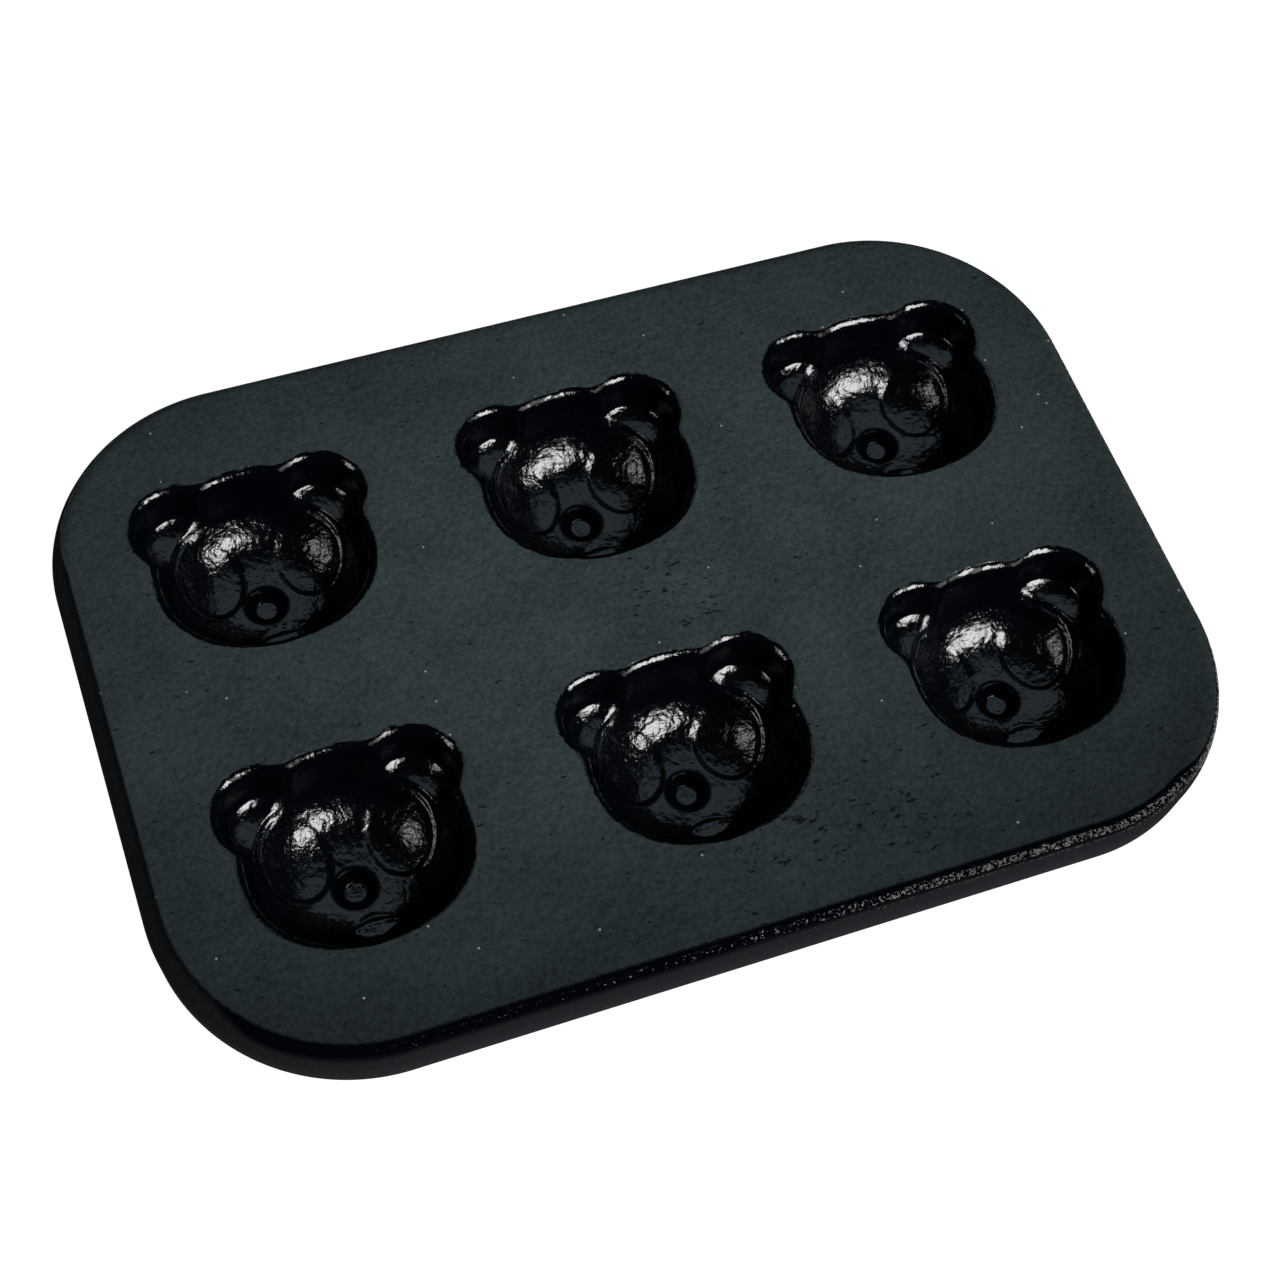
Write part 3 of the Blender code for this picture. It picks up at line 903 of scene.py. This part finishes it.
def cast_iron(name, skin):
    """A material whose two finishes are laid out by this skin."""
    material = bpy.data.materials.new(name)
    material.use_nodes = True
    tree = material.node_tree
    tree.nodes.clear()
    point = Tone(tree).node("TexCoord", output=3)
    place = point.node("VectorMath", {"operation": "SCALE"}, {0: point, "Scale": 1 / MM})
    matt_share, matt_colour, matt_bump, gloss_bump, roughness = skin(place)
    matt = place.node("BsdfPrincipled", {}, {
        "Base Color": matt_colour, "Roughness": MATT_ROUGHNESS, "Specular IOR Level": 0.0,
        "Normal": bumped(place, matt_bump)})
    gloss = place.node("BsdfPrincipled", {}, {
        "Base Color": BLACK_OIL, "Roughness": roughness, "Specular IOR Level": OIL_SPECULAR,
        "Normal": bumped(place, gloss_bump)})
    surface = place.node("MixShader", {}, {0: matt_share, 1: gloss, 2: matt})
    out = tree.nodes.new("ShaderNodeOutputMaterial")
    tree.links.new(surface.socket, out.inputs["Surface"])
    print(f"{name} has {len(tree.nodes)} nodes")
    return material


# %% [markdown]
# The deck's edge changes with its height. Just below the ground top runs a thin matt black line, painted
# shade that keeps the glossy edge from catching the light there, then a glossy band with matt specks,
# brightest towards the right as painted light, and then a satin grey skirt, which starts higher up on the
# left. Each of these is a pair of heights, in millimetres below the top.

# %% Where the edge is matt
GROUND_STOPS = (-0.03, -0.08)
# painted shade: a thin matt black line below the top, where the glossy edge would catch the light
SHADE_LINE_PAINTED_AT = (-0.46, -0.34)
SHADE_LINE_WANDERS = 0.5
SPECKS_START = (-0.24, -0.38)
SPECKS = (1.3, 3.0, 0.7)
SPECKS_THRESHOLD = (0.72, 0.64)
FEWER_WHERE_BRIGHT = 0.16
SATIN_STARTS = (-1.7, -2.3)
SATIN_WANDERS = 1.4


def edge_matt(place, drop, lumps, painted_brightness_ramp, left_rise):
    """How matt the edge is: on the painted shade line, in the specks of the band and down the satin skirt."""
    # painted light: fewer matt specks towards the right, so the glossy band is brighter where the key light
    # stands
    specks = (place.noise(*SPECKS) + painted_brightness_ramp * FEWER_WHERE_BRIGHT).between(*SPECKS_THRESHOLD)
    speckled = drop.between(*SPECKS_START) * specks
    satin = (drop + lumps * SATIN_WANDERS - left_rise).between(*SATIN_STARTS)
    # painted shade: a matt black line that the light can't gleam on
    painted_shade_line = (drop + lumps * SHADE_LINE_WANDERS).between(*SHADE_LINE_PAINTED_AT)
    return drop.between(*GROUND_STOPS) * speckled.at_least(satin).at_least(painted_shade_line)


# %% The edge's colour and its glossy band
# the skirt's grey, painted darker high up and paler low down: painted light from the floor
SKIRT_HIGH = (0.0080, 0.0088, 0.0100, 1)
SKIRT_LOW = (0.0185, 0.0200, 0.0225, 1)
GREY_STARTS = (-0.9, -2.4)
FLOOR_LIGHT_PAINTED_FROM = 1
FLOOR_LIGHT_PAINTED_OVER = 11
GLOSS_STARTS = (-0.20, -0.32)
GLOSS_STOPS = (-1.4, -1.0)
BAND_AT_LEFT = 0.2
BAND_GAINS = 0.8


def edge_colour(height, left_rise):
    """Black that turns to the skirt's grey, painted paler towards the bottom as painted light from the pale
    floor.
    """
    # painted light: the skirt's grey gets paler towards the floor
    grey_with_painted_floor_light = ((height + FLOOR_LIGHT_PAINTED_FROM) * (-1 / FLOOR_LIGHT_PAINTED_OVER)).blend(SKIRT_HIGH, SKIRT_LOW)
    return (height - left_rise).between(*GREY_STARTS).blend(BLACK_OIL, grey_with_painted_floor_light)


def glossy_band(drop, painted_brightness_ramp):
    return drop.between(*GLOSS_STARTS) * drop.between(*GLOSS_STOPS) * (painted_brightness_ramp * BAND_GAINS + BAND_AT_LEFT)


# %% [markdown]
# The deck's skin puts the ground top and the edge together. At the back and at the right end the ground
# finish runs on over the edge, so the heights there count from a millimetre further down.

# %% The deck's skin
RIGHT_END = (96, 108)
BACK_SIDE = (42, 58)
LEFT_END = (-104, -112)
LEFT_RISE = 1.4
# painted light: a ramp from left to right along which the edge is made glossier, for the key light at the
# right
BRIGHTER_TOWARDS_RIGHT_PAINTED = (-40, 60)
BAND_GRAIN_RELIEF = 0.22
BAND_LUMP_RELIEF = 0.20
EDGE_ROUGHNESS = 0.09
BAND_ROUGHER = 0.12


def deck_skin(place):
    """Shares, colours and bumps of the deck: ground on top, and the edge's line, band and skirt below."""
    grain, lumps = iron_texture(place)
    height = place.part(2) - TOP_MM
    drop = height + place.part(0).between(*RIGHT_END).at_least(place.part(1).between(*BACK_SIDE))
    painted_brightness_ramp = place.part(0).between(*BRIGHTER_TOWARDS_RIGHT_PAINTED)
    left_rise = place.part(0).between(*LEFT_END) * LEFT_RISE
    matt_share, matt_colour, matt_bump = ground_finish(place, drop, grain, lumps)
    matt_share = (matt_share + edge_matt(place, drop, lumps, painted_brightness_ramp, left_rise)).at_most(1.0)
    matt_colour = drop.between(*GROUND_STOPS).blend(matt_colour, edge_colour(height, left_rise))
    band = glossy_band(drop, painted_brightness_ramp)
    gloss_bump = band * (grain * BAND_GRAIN_RELIEF + lumps * BAND_LUMP_RELIEF) + grain * OIL_GRAIN_RELIEF
    return matt_share, matt_colour, matt_bump, gloss_bump, EDGE_ROUGHNESS + band * BAND_ROUGHER


iron_deck = cast_iron("iron_deck", deck_skin)
deck.data.materials.append(iron_deck)

# %% [markdown]
# In a cup the baked oil is glossy, with fine creases and slow waves on the face's floor. The mesh carries
# its gleam, dulled as painted shade. Where that is low, and on worn patches of the lip, the oil is a matt
# black, and the outside is the skirt's dull grey.

# %% The cups' skin
CREASES = (0.8, 3.0)
WAVES = (0.22, 2.0)
WEAR = (0.38, 2.0)
FACE_FLOOR = (-7.0, -11.0)
WORN_DOWN_TO = (-5.5, -3.5)
WORN_THRESHOLD = (0.47, 0.40)
WORN_DULLS = 0.85
LIP_TURNS_BLACK = (-0.12, -0.20)
CREASE_RELIEF = 0.18
WAVE_RELIEF = 0.50
OIL_LUMP_RELIEF = 0.10
CUP_ROUGHNESS = 0.075
FLOOR_ROUGHER = 0.055
PATCHY_ROUGHNESS = 0.16


def cup_skin(place):
    """Ground on the lip's very edge, then glossy oil inside and a dull coat outside."""
    grain, lumps = iron_texture(place)
    height = place.part(2) - TOP_MM
    matt_share, matt_colour, matt_bump = ground_finish(place, height, grain, lumps)

    worn = height.between(*WORN_DOWN_TO) * place.noise(*WEAR).between(*WORN_THRESHOLD)
    # the mesh's gleam carries the painted shade; worn patches dull it further
    shine_with_painted_shade = place.mark("gleam_with_painted_shade") * (1 - worn * WORN_DULLS)
    outside = place.mark("outside")
    matt_share = matt_share.at_least(1 - shine_with_painted_shade).at_least(outside)
    inside_colour = height.between(*LIP_TURNS_BLACK).blend(matt_colour, BLACK_OIL)
    matt_colour = outside.blend(inside_colour, SKIRT_LOW)

    face = height.between(*FACE_FLOOR)
    creases = abs(place.noise(*CREASES) - 0.5) * CREASE_RELIEF
    waves = (place.noise(*WAVES) - 0.5) * WAVE_RELIEF
    gloss_bump = face * (creases + waves) + grain * OIL_GRAIN_RELIEF + lumps * OIL_LUMP_RELIEF
    roughness = CUP_ROUGHNESS + face * FLOOR_ROUGHER + lumps * face * PATCHY_ROUGHNESS
    return matt_share, matt_colour, matt_bump, gloss_bump, roughness


iron_cup = cast_iron("iron_cup", cup_skin)
for cup in cups.values():
    cup.data.materials.append(iron_cup)

# %% [markdown]
# The looks replace the plain solids one for one, so the model keeps its pieces: a deck and six cups.

# %% Tie the pieces to the frame
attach(deck, "root")
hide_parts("deck")
for place, cup in cups.items():
    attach(cup, "root")
    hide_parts(f"panda_cup_{place}")
    print(cup.name, "stands for", f"panda_cup_{place}")

# %% [markdown]
# The photo's ground is plain white. A large pale sheet that glows by itself stays just as white wherever the
# lights stand, and it hardly shows the pan's shadow.

# %% The floor
FLOOR_HALF_SIZE = 3.0
FLOOR_BELOW = 0.2 * MM


def pale_floor():
    bm = bmesh.new()
    bmesh.ops.create_grid(bm, x_segments=1, y_segments=1, size=FLOOR_HALF_SIZE)
    mesh = bpy.data.meshes.new("floor")
    bm.to_mesh(mesh)
    bm.free()
    floor = bpy.data.objects.new("floor", mesh)
    bpy.context.scene.collection.objects.link(floor)
    material = bpy.data.materials.new("pale_floor")
    material.use_nodes = True
    shader = material.node_tree.nodes["Principled BSDF"]
    shader.inputs["Base Color"].default_value = (0.1, 0.1, 0.1, 1)
    shader.inputs["Roughness"].default_value = 0.9
    shader.inputs["Emission Color"].default_value = (1, 1, 1, 1)
    shader.inputs["Emission Strength"].default_value = 1.0
    floor.data.materials.append(material)
    floor.location.z = -FLOOR_BELOW
    return floor


floor = pale_floor()
print(f"a floor {2 * FLOOR_HALF_SIZE:.0f} m wide")

# %% [markdown]
# A photographer lights black iron with what it reflects. A picture of a whole studio could light it too, but
# with three lamps it stays clear what each one does. A large softbox stands in front and to the right,
# so it shows on every edge that leans towards the front, and a narrow one on the left picks out the far
# sides of the ears. A dim bluish light overhead is what the floors of the cups mirror: it gives them their
# grey. The rest of the room is nearly dark, which leaves the steep walls black, with the painted shade of the
# dulled oil.

# %% The lights
SOFTBOX_DISTANCE = 2.0
ROOM_COLOUR = (0.9, 0.95, 1.0, 1)
ROOM_STRENGTH = 0.01


def softbox(name, towards, width, height, watts, colour=(1, 1, 1)):
    """A soft rectangle of light that stands in this direction from the pan and faces it."""
    light = bpy.data.lights.new(name, "AREA")
    light.shape = "RECTANGLE"
    light.size = width
    light.size_y = height
    light.energy = watts
    light.color = colour
    lamp = bpy.data.objects.new(name, light)
    direction = Vector(towards).normalized()
    lamp.location = Vector((0, 0, TOP)) + direction * SOFTBOX_DISTANCE
    lamp.rotation_euler = direction.to_track_quat("Z", "Y").to_euler()
    bpy.context.scene.collection.objects.link(lamp)
    print(f"{name}: {watts} W")


softbox("key", towards=(0.44, -0.62, 0.64), width=1.2, height=0.92, watts=55)
softbox("left_strip", towards=(-0.87, -0.02, 0.49), width=0.5, height=0.9, watts=7)
softbox("ceiling", towards=(0.20, 0.49, 0.85), width=2.5, height=1.2, watts=5.5, colour=(0.64, 0.85, 1.0))
world = bpy.data.worlds.new("room")
world.use_nodes = True
world.node_tree.nodes["Background"].inputs["Color"].default_value = ROOM_COLOUR
world.node_tree.nodes["Background"].inputs["Strength"].default_value = ROOM_STRENGTH
bpy.context.scene.world = world
bpy.context.scene.view_settings.view_transform = "Standard"
